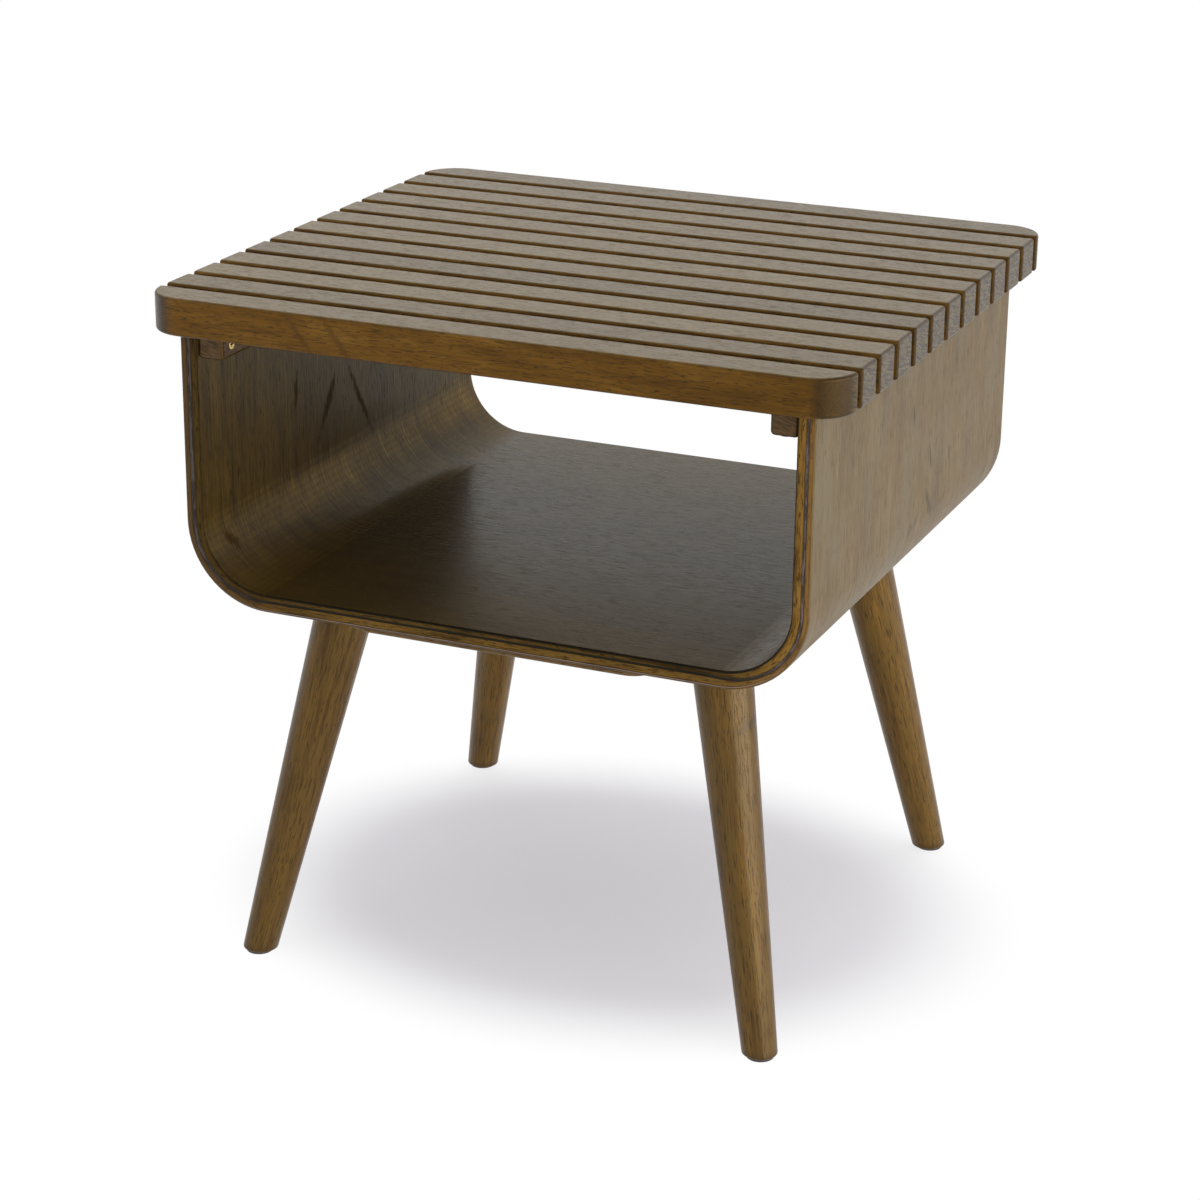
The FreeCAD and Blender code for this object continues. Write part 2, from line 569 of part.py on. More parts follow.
def make_leg_hardware():
    """A hanger bolt in each leg's top and the threaded insert that takes it in the shelf's floor."""
    inserts = new_body("leg_inserts")
    barrel = inserts.newObject("PartDesign::AdditiveCylinder", "Barrel")
    barrel.setExpression("Radius", "Sizes.insert_diameter / 2")
    barrel.setExpression("Height", "Sizes.insert_length")
    barrel.setExpression("Placement", on_leg_axis(1, 1, INSERT_START))
    drill(
        inserts, "Thread", "Sizes.hanger_diameter", "Sizes.insert_length + 2 * Sizes.cut_overrun",
        on_leg_axis(1, 1, f"{INSERT_START} - Sizes.cut_overrun"),
    )
    repeat_all(inserts, "Copies", mirrors=("YZ_Plane", "XZ_Plane"))
    bolts = new_body("hanger_bolts")
    shank = bolts.newObject("PartDesign::AdditiveCylinder", "Shank")
    shank.setExpression("Radius", "Sizes.hanger_diameter / 2")
    shank.setExpression(
        "Height", "Sizes.hanger_grip - Sizes.hanger_point + Sizes.insert_recess + Sizes.insert_length")
    shank.setExpression("Placement", on_leg_axis(
        1, 1, f"{LEG_LENGTH} - Sizes.hanger_grip + Sizes.hanger_point"))
    point = bolts.newObject("PartDesign::AdditiveCone", "Point")
    point.setExpression("Radius1", "Sizes.hanger_diameter / 4")
    point.setExpression("Radius2", "Sizes.hanger_diameter / 2")
    point.setExpression("Height", "Sizes.hanger_point")
    point.setExpression("Placement", on_leg_axis(1, 1, f"{LEG_LENGTH} - Sizes.hanger_grip"))
    repeat_all(bolts, "Copies", mirrors=("YZ_Plane", "XZ_Plane"))


# The screws

def make_screws():
    """Three groups of screws, each seated in the bores of the wood that it holds."""
    slat_screws = new_body("slat_screws")
    slat_screw_length = "(Sizes.cleat_height + Sizes.slat_screw_bite)"
    screw(
        slat_screws, "Inner", "Sizes.slat_screw_diameter", slat_screw_length,
        (CLEAT_X, SECOND_SLAT_Y, CLEAT_UNDERSIDE), "Z",
    )
    repeat_all(slat_screws, "Rows", (INNER_SLATS_SPAN, INNER_SLATS))
    for name, side in (("Front", -1), ("Back", 1)):
        screw(
            slat_screws, name, "Sizes.slat_screw_diameter", slat_screw_length,
            (CLEAT_X, f"({side} * {END_SLAT_SCREW_Y})", CLEAT_UNDERSIDE), "Z",
        )
    repeat_all(slat_screws, "Sides", mirrors=("YZ_Plane",))
    cleat_screws = new_body("cleat_screws")
    for name, y in (("Outer", OUTER_CLEAT_SCREW_Y), ("Inner", INNER_CLEAT_SCREW_Y)):
        screw(
            cleat_screws, name, "Sizes.cleat_screw_diameter",
            "(Sizes.cleat_width + Sizes.cleat_screw_bite)", (CLEAT_INSIDE, y, CLEAT_MIDDLE), "X",
        )
    repeat_all(cleat_screws, "Copies", mirrors=("YZ_Plane", "XZ_Plane"))
    panel_screws = new_body("under_panel_screws")
    screw(
        panel_screws, "Screw", "Sizes.panel_screw_diameter",
        "(Sizes.panel_thickness + Sizes.panel_screw_bite)",
        (PANEL_SCREW_X, f"(-{PANEL_SCREW_Y})", PANEL_UNDERSIDE), "Z",
    )
    repeat_all(panel_screws, "Copies", (f"2 * {PANEL_SCREW_Y}", "Sizes.panel_screw_rows"), ("YZ_Plane",))


def check_and_write():
    """Stop on any failed object, then write each sub-part to its own file."""
    doc.recompute()
    failed = [item.Name for item in doc.Objects if {"Invalid", "Error"} & set(item.State)]
    if failed:
        raise RuntimeError(f"failed objects: {failed}")
    for body in sub_parts:
        if body.Shape.isNull() or not body.Shape.isValid():
            raise RuntimeError(f"{body.Label} has no valid shape")
    os.makedirs("parts", exist_ok=True)
    for body in sub_parts:
        body.Shape.exportStep(os.path.join("parts", f"{body.Label}.step"))
        print(f"{body.Label}: {len(body.Shape.Solids)} solids, {body.Shape.Volume:.1f} mm3")


sizes = fill_sheet()
make_slats()
make_shell()
make_cleats()
make_panel()
make_legs()
make_glides()
make_leg_hardware()
make_screws()
check_and_write()
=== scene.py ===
"""Looks of a slatted side table: stained wood, bent plywood and small hardware.

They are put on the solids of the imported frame. Lengths are in metres, and in the patterns' own
coordinates in millimetres. X runs along the slats, the front of the table faces -Y and Z is up.
"""
import math
from collections import namedtuple

import bpy
from mathutils import Matrix, Vector


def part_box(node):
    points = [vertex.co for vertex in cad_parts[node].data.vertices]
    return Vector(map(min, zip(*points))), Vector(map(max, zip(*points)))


bl_info = {
    "name": "Slatted side table",
    "version": (1, 0, 0),
    "blender": (4, 5, 0),
    "location": "3D View > Sidebar > Table",
    "description": "Finishes of a slatted side table with a bent plywood shelf, and its studio",
    "category": "Object",
}

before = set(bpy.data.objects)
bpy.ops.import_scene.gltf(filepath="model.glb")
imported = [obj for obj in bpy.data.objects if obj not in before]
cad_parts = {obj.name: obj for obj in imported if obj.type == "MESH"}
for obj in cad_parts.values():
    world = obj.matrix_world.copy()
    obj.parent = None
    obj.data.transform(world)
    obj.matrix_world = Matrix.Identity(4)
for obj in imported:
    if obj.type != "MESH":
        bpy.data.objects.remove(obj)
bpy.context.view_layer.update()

# Places in the wood, read from the frame, in millimetres
MM = 1000
FIRST_SLAT_LOW, FIRST_SLAT_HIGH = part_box("slat_01")
SECOND_SLAT_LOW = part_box("slat_02")[0]
SHELL_LOW, SHELL_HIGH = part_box("bent_shell")
SLAT_HALF_LENGTH = FIRST_SLAT_HIGH[0] * MM
SLAT_WIDTH = (FIRST_SLAT_HIGH[1] - FIRST_SLAT_LOW[1]) * MM
SLAT_THICKNESS = (FIRST_SLAT_HIGH[2] - FIRST_SLAT_LOW[2]) * MM
SLAT_UNDERSIDE = FIRST_SLAT_LOW[2] * MM
SLAT_PITCH = (SECOND_SLAT_LOW[1] - FIRST_SLAT_LOW[1]) * MM
FIRST_SLAT_Y = (FIRST_SLAT_LOW[1] + FIRST_SLAT_HIGH[1]) / 2 * MM
SHELL_HALF_WIDTH = SHELL_HIGH[0] * MM
SHELL_UNDERSIDE = SHELL_LOW[2] * MM
CLEAT_LOW, CLEAT_HIGH = (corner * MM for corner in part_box("cleat_right"))

# As in the CAD: the number of slats, and in millimetres the outer radius of the shelf's bends, the
# thickness of its plywood and the axis of the rear right leg at its foot and its top
SLAT_COUNT = 13
SHELL_BEND = 60
SHELL_WALL = 12.5
FOOT = Vector((195, 188.25, 0))
LEG_TOP = Vector((140, 139.75, 274))

# Shifts of the grain in millimetres, along it and in the two ways across it: the range of each
# slat's chance shift, and a leg's shift for each unit of its number
SLAT_SHIFTS = (5000, 60, 40)
LEG_SHIFTS = (610, 9, 5)

# Height of the surfaces' relief, in metres
WOOD_RELIEF = 0.0001
PLASTIC_RELIEF = 0.00005
METAL_RELIEF = 0.00003
FLOOR_RELIEF = 0.0001

# Lacquer on the wood: its refraction, and the tint of what it mirrors straight back
SLAT_LACQUER = {"IOR": 1.5, "Specular Tint": (0.6, 0.35, 0.12, 1)}
OUTER_LACQUER = {"IOR": 1.4, "Specular Tint": (0.7, 0.65, 0.3, 1)}
INNER_LACQUER = {"IOR": 1.25, "Specular Tint": (0.7, 0.65, 0.3, 1)}
UNDERSIDE_LACQUER = {"IOR": 1.45, "Specular Tint": (0.9, 0.6, 0.3, 1)}
LEG_LACQUER = {"IOR": 1.45, "Specular Tint": (0.8, 0.6, 0.35, 1)}

# Knots and dark figures: the middle's two coordinates in the face, the reach across and along, and
# how far the mark leans per millimetre upwards
SLAT_FRONT_MARKS = ((-127, 478, 2.6, 15, -0.73), (-100, 479, 3.2, 15, -0.72),
                    (74, 490.5, 5, 2.5, 0), (227, 494, 2.2, 5, -0.4))
INNER_WALL_MARKS = ((-77, 391, 3, 15, 0.1), (-30, 368, 5, 20, 0.6), (22, 358, 3.6, 32, -0.6),
                    (-183, 312, 5, 9, -0.6))
OUTER_WALL_MARKS = ((32, 371, 1.8, 11, -0.3), (77, 360, 1.8, 9, -0.2), (33, 336, 4, 12, -0.6),
                    (5, 331, 2.4, 5, 0.8), (-8, 326, 2.6, 4, 1.2), (-10, 412, 1.8, 10, -0.3))
LEG_MARKS = ((166, 226, 4.5, 5, 0.2),)

# A fine joint line across one slat's upper face: its place along X and the slat's number, from 0
JOINT_PLACE = 208
JOINT_SLAT = 9

# The stage: the floor's width in metres, how much the distance counts aside and ahead in the oval
# of the shadow, the oval's middle along Y and the camera's sensor, both in millimetres
FLOOR_SIZE = 60
SHADOW_ASIDE = 0.88
SHADOW_AHEAD = 1.07
SHADOW_MIDDLE = 8
SENSOR_WIDTH = 36

Grain = namedtuple("Grain", "cloud streaks fibres pores rings")


class Signal:
    """An output socket. Arithmetic on it, with numbers or other signals, adds Math nodes."""

    def __init__(self, finish, socket):
        self.finish = finish
        self.socket = socket

    def __add__(self, other):
        return self.finish.math("ADD", self, other)

    def __radd__(self, other):
        return self.finish.math("ADD", other, self)

    def __sub__(self, other):
        return self.finish.math("SUBTRACT", self, other)

    def __rsub__(self, other):
        return self.finish.math("SUBTRACT", other, self)

    def __mul__(self, other):
        return self.finish.math("MULTIPLY", self, other)

    def __rmul__(self, other):
        return self.finish.math("MULTIPLY", other, self)

    def __truediv__(self, other):
        return self.finish.math("DIVIDE", self, other)

    def __abs__(self):
        return self.finish.math("ABSOLUTE", self)

    def at_least(self, other):
        """The larger of the two."""
        return self.finish.math("MAXIMUM", self, other)

    def at_most(self, other):
        """The smaller of the two."""
        return self.finish.math("MINIMUM", self, other)

    def rise(self, start, end):
        """0 up to start, 1 from end on, smooth between; falls where end is below start."""
        settings = {"interpolation_type": "SMOOTHSTEP"}
        low, high = (0, 1) if start < end else (1, 0)
        sockets = {"Value": self, "From Min": min(start, end), "From Max": max(start, end),
                   "To Min": low, "To Max": high}
        return self.finish.node("ShaderNodeMapRange", settings, sockets)

    def band(self, middle, half_width, blur):
        """1 within half_width of the middle, 0 further out than the blur."""
        return abs(self - middle).rise(half_width + blur, half_width)


class Finish:
    """A material or a world built as a tree of nodes."""

    def __init__(self, owner):
        self.owner = owner
        owner.use_nodes = True
        self.tree = owner.node_tree
        self.tree.nodes.clear()

    def node(self, kind, settings=None, sockets=None, output=0):
        """Add a node: its settings first, then its sockets' values or links. Gives one output."""
        node = self.tree.nodes.new(kind)
        for name, value in (settings or {}).items():
            if name == "stops":
                self.set_stops(node.color_ramp, value)
            else:
                setattr(node, name, value)
        for name, value in (sockets or {}).items():
            if isinstance(value, Signal):
                self.tree.links.new(value.socket, node.inputs[name])
            else:
                node.inputs[name].default_value = value
        return Signal(self, node.outputs[output]) if node.outputs else None

    @staticmethod
    def set_stops(ramp, stops):
        """Give a colour ramp its places and colours."""
        while len(ramp.elements) < len(stops):
            ramp.elements.new(1)
        for element, (place, colour) in zip(ramp.elements, stops):
            element.position = place
            element.color = (*colour, 1)

    def math(self, operation, *values):
        """A Math node on signals or numbers."""
        return self.node("ShaderNodeMath", {"operation": operation}, dict(enumerate(values)))

    def vector(self, x, y, z):
        """Three signals as one vector."""
        return self.node("ShaderNodeCombineXYZ", None, {0: x, 1: y, 2: z})

    def split(self, vector):
        """A vector's three parts."""
        first = self.node("ShaderNodeSeparateXYZ", None, {0: vector})
        outputs = first.socket.node.outputs
        return tuple(Signal(self, socket) for socket in outputs)

    def place(self):
        """The point's place on the table, in millimetres."""
        metres = self.node("ShaderNodeTexCoord", output="Object")
        return self.split(self.node(
            "ShaderNodeVectorMath", {"operation": "SCALE"}, {"Vector": metres, "Scale": MM}))

    def facing(self):
        """How far the surface faces along X, Y and Z."""
        return self.split(self.node("ShaderNodeNewGeometry", output="Normal"))

    def noise(self, place, detail=2, roughness=0.5, output="Fac"):
        """Soft noise about one unit wide."""
        return self.node("ShaderNodeTexNoise", None,
                         {"Vector": place, "Scale": 1, "Detail": detail, "Roughness": roughness},
                         output=output)

    def chance(self, number, output="Value"):
        """A number from 0 to 1 that goes with each whole number."""
        return self.node("ShaderNodeTexWhiteNoise", {"noise_dimensions": "1D"}, {"W": number},
                         output=output)

    def mix(self, share, first, second):
        """The first colour, or the second where share is 1."""
        colours = {index: colour if isinstance(colour, Signal) else (*colour, 1)
                   for index, colour in ((6, first), (7, second))}
        return self.node("ShaderNodeMix", {"data_type": "RGBA"}, {0: share, **colours}, output=2)

    def brighten(self, colour, factor):
        """A colour times a number that may vary."""
        return self.node("ShaderNodeVectorMath", {"operation": "SCALE"},
                         {"Vector": colour, "Scale": factor})

    def marks(self, first, second, places):
        """1 in the dark marks with the given places and reaches, 0 outside them."""
        wobble = self.noise(self.vector(first / 2.2, second / 14, 0), 3, 0.6) * 2.4 - 1.2
        found = None
        for middle, height, half_width, half_height, lean in places:
            above = second - height
            aside = (first - middle - above * lean) / half_width
            above = above / half_height
            mark = (self.math("SQRT", aside * aside + above * above) + wobble).rise(1.25, 0.35)
            found = mark if found is None else found.at_least(mark)
        return found

    def seen(self):
        """1 for the rays of the camera and those that a surface reflects or lets through."""
        path = self.node("ShaderNodeLightPath").socket.node.outputs
        camera, glossy, through = (
            Signal(self, path[name])
            for name in ("Is Camera Ray", "Is Glossy Ray", "Is Transmission Ray"))
        return camera.at_least(glossy).at_least(through)

    def shader(self, colour, roughness, height, depth, constants=None):
        """A shader whose colour, roughness and relief vary while the rest is constant."""
        relief = self.node("ShaderNodeBump", None, {"Height": height, "Distance": depth})
        varying = {"Base Color": colour, "Roughness": roughness, "Normal": relief}
        return self.node("ShaderNodeBsdfPrincipled", None, {**varying, **(constants or {})})

    def close(self, shader):
        """Give the shader to the material's output."""
        self.node("ShaderNodeOutputMaterial", None, {"Surface": shader})
        return self.owner

    def surface(self, *look):
        """Close the material with one shader."""
        return self.close(self.shader(*look))


def new_finish(name):
    """A new material to build on."""
    return Finish(bpy.data.materials.new(name))


def dress(names, material):
    """Give CAD pieces one material on all their slots."""
    for name in names:
        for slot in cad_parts[name].material_slots:
            slot.material = material


def wood_grain(finish, along, across, depth, length=1):
    """Grain of a board, from three coordinates in millimetres."""
    def stretched(reach, width, shift, detail, roughness=0.5):
        return finish.noise(
            finish.vector(along / (reach * length) + shift, across / width, depth / width),
            detail, roughness)

    cloud = stretched(55, 15, 3, 2)
    streaks = stretched(42, 2.2, 11, 3, 0.6)
    fibres = stretched(16, 1, 23, 2)
    short_pores = stretched(6, 0.9, 37, 1).rise(0.6, 0.67)
    long_pores = stretched(13, 0.9, 71, 1).rise(0.62, 0.68)
    pores = short_pores.at_least(long_pores)
    wander = stretched(90, 18, 51, 2)
    ring = finish.math("FRACT", finish.math(
        "SQRT", across * across * 0.35 + (depth + 30) * (depth + 30)) / 6.5 + wander * 3)
    rings = ring.rise(0.5, 0.97) * ring.rise(1, 0.97)
    return Grain(cloud, streaks, fibres, pores, rings)


def stained(finish, grain, dark, middle, light, pore, pore_share=0.75):
    """Stained wood: colour and relief from its grain."""
    tone = grain.cloud * 0.6 + grain.streaks * 0.4
    colour = finish.mix(tone.rise(0.34, 0.5), dark, middle)
    colour = finish.mix(tone.rise(0.5, 0.68), colour, light)
    colour = finish.brighten(colour, (grain.fibres - 0.5) * 0.6 + 1)
    colour = finish.mix(grain.rings * 0.3, colour, dark)
    colour = finish.mix(grain.pores * pore_share, colour, pore)
    relief = grain.fibres * 0.25 - grain.pores
    return colour, relief


class TableWoods(bpy.types.PropertyGroup):
    """Base colours of the stained woods."""

    slat_middle: bpy.props.FloatVectorProperty(
        name="Slats", description="Stained slat, its usual colour",
        subtype="COLOR", min=0, max=1, default=(0.090, 0.0415, 0.006))
    slat_light: bpy.props.FloatVectorProperty(
        name="Slats, light", description="Light streaks of the slats",
        subtype="COLOR", min=0, max=1, default=(0.128, 0.064, 0.011))
    slat_dark: bpy.props.FloatVectorProperty(
        name="Slats, dark", description="Dark streaks and growth rings of the slats",
        subtype="COLOR", min=0, max=1, default=(0.052, 0.023, 0.0045))
    # The upper faces' own lighter, greener colour is a painted sheen
    slat_top: bpy.props.FloatVectorProperty(
        name="Slats, upper face", description="The slats' upper faces, bleached by light",
        subtype="COLOR", min=0, max=1, default=(0.130, 0.094, 0.034))
    # Also the painted shade along the edges of the cleats' ends
    pore: bpy.props.FloatVectorProperty(
        name="Pores", description="Stain gathered in the pores",
        subtype="COLOR", min=0, max=1, default=(0.022, 0.010, 0.003))
    # Darker colour for the slats' rounded edges, the joint line and a leg's knot, and the painted
    # shade at every foot
    edge: bpy.props.FloatVectorProperty(
        name="Edges", description="Stain gathered on the rounded edges",
        subtype="COLOR", min=0, max=1, default=(0.030, 0.017, 0.008))
    end_grain: bpy.props.FloatVectorProperty(
        name="End grain", description="Flat ends of the slats",
        subtype="COLOR", min=0, max=1, default=(0.030, 0.022, 0.006))
    # The rounded corners are end grain painted darker than the flat ends, a painted shade
    corner: bpy.props.FloatVectorProperty(
        name="Corners", description="Rounded corners of the top, dark with stain",
        subtype="COLOR", min=0, max=1, default=(0.016, 0.011, 0.006))
    veneer_middle: bpy.props.FloatVectorProperty(
        name="Veneer", description="Face veneer of the bent shelf",
        subtype="COLOR", min=0, max=1, default=(0.104, 0.065, 0.025))
    veneer_light: bpy.props.FloatVectorProperty(
        name="Veneer, light", description="Light streaks of the face veneer",
        subtype="COLOR", min=0, max=1, default=(0.136, 0.087, 0.036))
    veneer_dark: bpy.props.FloatVectorProperty(
        name="Veneer, dark", description="Dark streaks of the face veneer",
        subtype="COLOR", min=0, max=1, default=(0.072, 0.044, 0.017))
    veneer_grey: bpy.props.FloatVectorProperty(
        name="Veneer, faded", description="Grey clouds where the outer veneer has faded",
        subtype="COLOR", min=0, max=1, default=(0.106, 0.082, 0.045))
    inner_middle: bpy.props.FloatVectorProperty(
        name="Inner veneer", description="Veneer inside the bent shelf, less faded",
        subtype="COLOR", min=0, max=1, default=(0.086, 0.050, 0.009))
    inner_light: bpy.props.FloatVectorProperty(
        name="Inner veneer, light", description="Light streaks of the inner veneer",
        subtype="COLOR", min=0, max=1, default=(0.122, 0.076, 0.015))
    inner_dark: bpy.props.FloatVectorProperty(
        name="Inner veneer, dark", description="Dark streaks of the inner veneer",
        subtype="COLOR", min=0, max=1, default=(0.044, 0.026, 0.007))
    inner_floor: bpy.props.FloatVectorProperty(
        name="Shelf floor", description="The shelf's upper face",
        subtype="COLOR", min=0, max=1, default=(0.100, 0.062, 0.014))
    # A painted reflection of the dark left wall in the left front of the shelf's floor
    floor_reflection_dark: bpy.props.FloatVectorProperty(
        name="Shelf floor, dark", description="Dark stain in the left front of the shelf",
        subtype="COLOR", min=0, max=1, default=(0.026, 0.010, 0.001))
    ply_gold: bpy.props.FloatVectorProperty(
        name="Plies", description="Golden plies in the shelf's open edges",
        subtype="COLOR", min=0, max=1, default=(0.150, 0.080, 0.016))
    # Also the painted shade along the inner rim of the open edges
    ply_grey: bpy.props.FloatVectorProperty(
        name="Core ply", description="Grey ply in the shelf's open edges",
        subtype="COLOR", min=0, max=1, default=(0.006, 0.006, 0.006))
    ply_red: bpy.props.FloatVectorProperty(
        name="Outer ply, left", description="Reddish outer plies of the shelf's left wall",
        subtype="COLOR", min=0, max=1, default=(0.075, 0.040, 0.020))
    # Painted glints on the rounded open edges: the pale middle line in the walls and a thin pale
    # line under the shelf
    ply_glint: bpy.props.FloatVectorProperty(
        name="Pale line", description="Thin pale lines between the plies, worn through the stain",
        subtype="COLOR", min=0, max=1, default=(0.085, 0.069, 0.069))
    cleat_end: bpy.props.FloatVectorProperty(
        name="Cleat ends", description="End grain of the cleats",
        subtype="COLOR", min=0, max=1, default=(0.066, 0.040, 0.020))
    leg_middle: bpy.props.FloatVectorProperty(
        name="Legs", description="Stained leg, its usual colour",
        subtype="COLOR", min=0, max=1, default=(0.088, 0.048, 0.010))


class TableFittings(bpy.types.PropertyGroup):
    """Colours of the glides, the screws, the bolts and the inserts."""

    glide_dark: bpy.props.FloatVectorProperty(
        name="Glides", description="Dark plastic of the glides",
        subtype="COLOR", min=0, max=1, default=(0.016, 0.013, 0.011))
    glide_scuffed: bpy.props.FloatVectorProperty(
        name="Glides, scuffed", description="Fine scuffs of the glides",
        subtype="COLOR", min=0, max=1, default=(0.045, 0.038, 0.032))
    steel_dull: bpy.props.FloatVectorProperty(
        name="Steel", description="Zinc-plated steel, its dull parts",
        subtype="COLOR", min=0, max=1, default=(0.50, 0.50, 0.48))
    steel_bright: bpy.props.FloatVectorProperty(
        name="Steel, bright", description="Zinc-plated steel, its bright parts",
        subtype="COLOR", min=0, max=1, default=(0.66, 0.66, 0.64))
    brass_dull: bpy.props.FloatVectorProperty(
        name="Brass", description="Brass plating, its dull parts",
        subtype="COLOR", min=0, max=1, default=(0.62, 0.44, 0.14))
    brass_bright: bpy.props.FloatVectorProperty(
        name="Brass, bright", description="Brass plating, its bright parts",
        subtype="COLOR", min=0, max=1, default=(0.86, 0.66, 0.28))
    # Painted shade in the recesses of the brass screws' heads
    brass_recess_shade: bpy.props.FloatVectorProperty(
        name="Brass, recess", description="Dirt in the recess of a brass screw's head",
        subtype="COLOR", min=0, max=1, default=(0.05, 0.03, 0.008))


class TableStage(bpy.types.PropertyGroup):
    """Camera, floor and light round the table."""

    camera_place: bpy.props.FloatVectorProperty(
        name="Camera", description="Place of the camera",
        subtype="TRANSLATION", unit="LENGTH", default=(0.82972, -1.94532, 1.01437))
    camera_yaw: bpy.props.FloatProperty(
        name="Yaw", description="Turn of the camera to the left of the +Y direction",
        subtype="ANGLE", default=0.4069)
    camera_pitch: bpy.props.FloatProperty(
        name="Pitch", description="Tilt of the camera above the level",
        subtype="ANGLE", default=-0.3516)
    camera_roll: bpy.props.FloatProperty(
        name="Roll", description="Roll of the camera, to the left",
        subtype="ANGLE", default=0.0103)
    lens: bpy.props.FloatProperty(
        name="Lens", description="Focal length on a sensor 36 mm wide",
        subtype="DISTANCE_CAMERA", default=92.24, min=10)
    floor_colour: bpy.props.FloatVectorProperty(
        name="Floor", description="Pale studio floor under the table, where its shadow lies",
        subtype="COLOR", min=0, max=1, default=(0.935, 0.928, 0.980))
    shadow_inner: bpy.props.FloatProperty(
        name="Shadow, inner reach", description="How far out the floor shows its full shadow",
        unit="LENGTH", default=0.165, min=0)
    shadow_outer: bpy.props.FloatProperty(
        name="Shadow, outer reach", description="Where the floor has run out to white",
        unit="LENGTH", default=0.285, min=0)
    ambient: bpy.props.FloatProperty(
        name="Ambient light", description="Strength of the light from all round",
        default=1.06, min=0)
    left_shade: bpy.props.FloatProperty(
        name="Left shade", description="How much darker the room is at the left",
        subtype="FACTOR", default=0.3, min=0, max=1)
    lamp_power: bpy.props.FloatProperty(
        name="Lamp", description="Power of the wide lamp at the right, in watts",
        default=76, min=0)
    lamp_width: bpy.props.FloatProperty(
        name="Lamp width", description="Width of the lamp", unit="LENGTH", default=4, min=0)
    lamp_height: bpy.props.FloatProperty(
        name="Lamp height", description="Height of the lamp", unit="LENGTH", default=0.42, min=0)
    lamp_place: bpy.props.FloatVectorProperty(
        name="Lamp place", description="Middle of the lamp, lower than the slats' upper faces",
        subtype="TRANSLATION", unit="LENGTH", default=(3, -0.75, 0.26))
    lamp_target: bpy.props.FloatVectorProperty(
        name="Lamp target", description="The point that the lamp faces",
        subtype="TRANSLATION", unit="LENGTH", default=(0, 0, 0.35))


class TABLE_OT_slats(bpy.types.Operator):
    """Finish the thirteen slats: stained solid wood with grain along X and dark rounded edges"""

    bl_idname = "table.slats"
    bl_label = "Finish the slats"

    def execute(self, context):
        woods = context.scene.table_woods
        finish = new_finish("slat_wood_stained")
        x, y, z = finish.place()
        # Every slat gets a grain and a tone of its own, by its number
        number = finish.math("FLOOR", (y - FIRST_SLAT_Y) / SLAT_PITCH + 0.5)
        across = y - FIRST_SLAT_Y - number * SLAT_PITCH
        up = z - SLAT_UNDERSIDE
        tone = finish.chance(number)
        shift_x, shift_y, shift_z = finish.split(finish.chance(number, "Color"))
        range_x, range_y, range_z = SLAT_SHIFTS
        grain = wood_grain(
            finish, x + shift_x * range_x, across + (shift_y - 0.5) * range_y,
            up + shift_z * range_z)
        colour, relief = stained(
            finish, grain, woods.slat_dark, woods.slat_middle, woods.slat_light, woods.pore)
        facing_x, facing_y, facing_z = finish.facing()
        # Upper faces, painted lighter and greener than the sides as a painted sheen, with their
        # grain and pores
        sheened = finish.mix(0.85, colour, woods.slat_top)
        sheened = finish.brighten(sheened, (grain.streaks + grain.fibres - 1) * 0.8 + 1)
        sheened = finish.mix(grain.pores * 0.3, sheened, woods.pore)
        colour = finish.mix(facing_z.rise(0.6, 0.95), colour, sheened)
        # Painted shade and light: fronts darker towards the right end, every face slightly lighter
        # towards the left
        right_front_shade = x.rise(60, 230) * facing_y.rise(-0.5, -0.9)
        colour = finish.brighten(colour, tone * 0.3 + 0.85 - right_front_shade * 0.12 - x * 0.0002)
        # End grain, and the rounded corners of the top, painted darker than the flat ends: a
        # painted shade
        end_grain = abs(facing_x).rise(0.12, 0.45)
        growth = finish.noise(
            finish.vector(0, (up + across * 0.3) / 2.2 + shift_x * 50, (across - up) / 16), 2)
        pits = finish.noise(finish.vector(0, across / 0.7, up / 0.7 + number * 9), 1)
        pits = pits.rise(0.55, 0.7)
        growth_lines = growth.rise(0.35, 0.65)
        flat_end = abs(facing_x).rise(0.9, 0.99)
        end_colour = finish.mix(flat_end, woods.corner, woods.end_grain)
        end_colour = finish.brighten(end_colour, (growth_lines * 1.6 - 0.85) * flat_end + 1)
        end_colour = finish.mix(pits * 0.5, end_colour, woods.pore)
        colour = finish.mix(end_grain * 0.9, colour, end_colour)
        # Rounded edges, darker along a wavering border: there the two smaller of the three
        # distances have a small sum
        from_end = SLAT_HALF_LENGTH - abs(x)
        from_side = SLAT_WIDTH / 2 - abs(across)
        from_face = up.at_most(SLAT_THICKNESS - up)
        total = from_end + from_side + from_face
        from_edge = total - from_end.at_least(from_side).at_least(from_face)
        edge_waver = finish.noise(finish.vector(x / 9, y / 9, z / 9), 2)
        edge = (from_edge + (edge_waver - 0.5) * 1.2).rise(1.7, 0.4)
        colour = finish.mix(edge * (end_grain * 0.2 + 0.75), colour, woods.edge)
        # Marks in the first slat's front, and the joint
        front = number.rise(0.5, 0.4) * facing_y.rise(-0.6, -0.9)
        figure = finish.marks(x, z, SLAT_FRONT_MARKS) * front
        colour = finish.mix(figure * 0.65, colour, woods.slat_dark)
        joint = x.band(JOINT_PLACE, 0.25, 0.35) * number.band(JOINT_SLAT, 0.2, 0.1)
        colour = finish.mix(joint * facing_z.rise(0.6, 0.95) * 0.6, colour, woods.edge)
        relief = relief + growth_lines * flat_end * 3
        roughness = grain.streaks * 0.12 + 0.24 + grain.pores * 0.15
        dress([f"slat_{n:02d}" for n in range(1, SLAT_COUNT + 1)],
              finish.surface(colour, roughness, relief, WOOD_RELIEF, SLAT_LACQUER))
        return {"FINISHED"}


